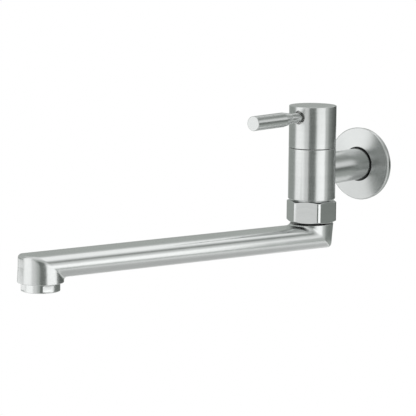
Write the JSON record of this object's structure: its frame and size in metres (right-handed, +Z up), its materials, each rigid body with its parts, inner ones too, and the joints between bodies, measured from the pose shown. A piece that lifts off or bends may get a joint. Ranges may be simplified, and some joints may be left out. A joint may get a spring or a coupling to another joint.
{
  "type": "wall-mounted basin tap",
  "caption": "Wall-mounted quarter-turn tap: upright cylinder body with a rod lever, long flattened swivel spout ending in a round outlet head, threaded inlet arm and sliding wall flange.",
  "frame": {"origin": "on the inlet arm's axis where it meets the wall face", "axes": "+Z up, +Y into the wall along the inlet, -Y out to the user, +X to the user's right"},
  "size_m": [0.0929, 0.2936, 0.1036],
  "materials": {
    "satin_steel": "satin brushed along the length",
    "turned_steel": "satin brushed round the axis",
    "nut_steel": "smooth satin",
    "hidden_steel": "plain machined",
    "brass": "plain machined",
    "ceramic": "lapped",
    "rubber": "plain moulded",
    "nylon": "plain moulded"
  },
  "bodies": {
    "root": {"valve_body": "turned_steel", "inlet_arm": "turned_steel", "cartridge_housing": "brass", "housing_gasket": "rubber", "seat_seal": "rubber", "lower_disc": "ceramic", "coupling_nut": "nut_steel"},
    "handle": {"upper_disc": "ceramic", "spindle": "brass", "thrust_washer": "nylon", "spindle_o_rings": "rubber", "spindle_clip": "hidden_steel", "spline_insert": "nylon", "handle_hub": "hidden_steel", "hub_screw": "hidden_steel", "screw_washer": "hidden_steel", "handle_cap": "turned_steel", "lever_grip": "turned_steel", "lever_stud": "hidden_steel"},
    "spout": {"spout": "satin_steel", "swivel_tail": "hidden_steel", "tail_o_rings": "rubber", "slip_ring": "nylon", "aerator_shell": "satin_steel", "aerator_insert": "nylon", "aerator_screen": "hidden_steel", "aerator_washer": "rubber"},
    "flange": {"wall_flange": "turned_steel", "flange_o_ring": "rubber"}
  },
  "joints": [
    {"name": "handle_turn", "type": "hinge", "parent": "root", "child": "handle", "pos_m": [0, -0.0567, 0], "axis": [0, 0, 1], "range_deg": [0, 90]},
    {"name": "spout_swing", "type": "hinge", "parent": "root", "child": "spout", "pos_m": [0, -0.0567, 0], "axis": [0, 0, 1], "range_deg": [-75.6, 104.4]},
    {"name": "flange_slide", "type": "slide", "parent": "root", "child": "flange", "axis": [0, -1, 0], "range_m": [0, 0.034]}
  ]
}
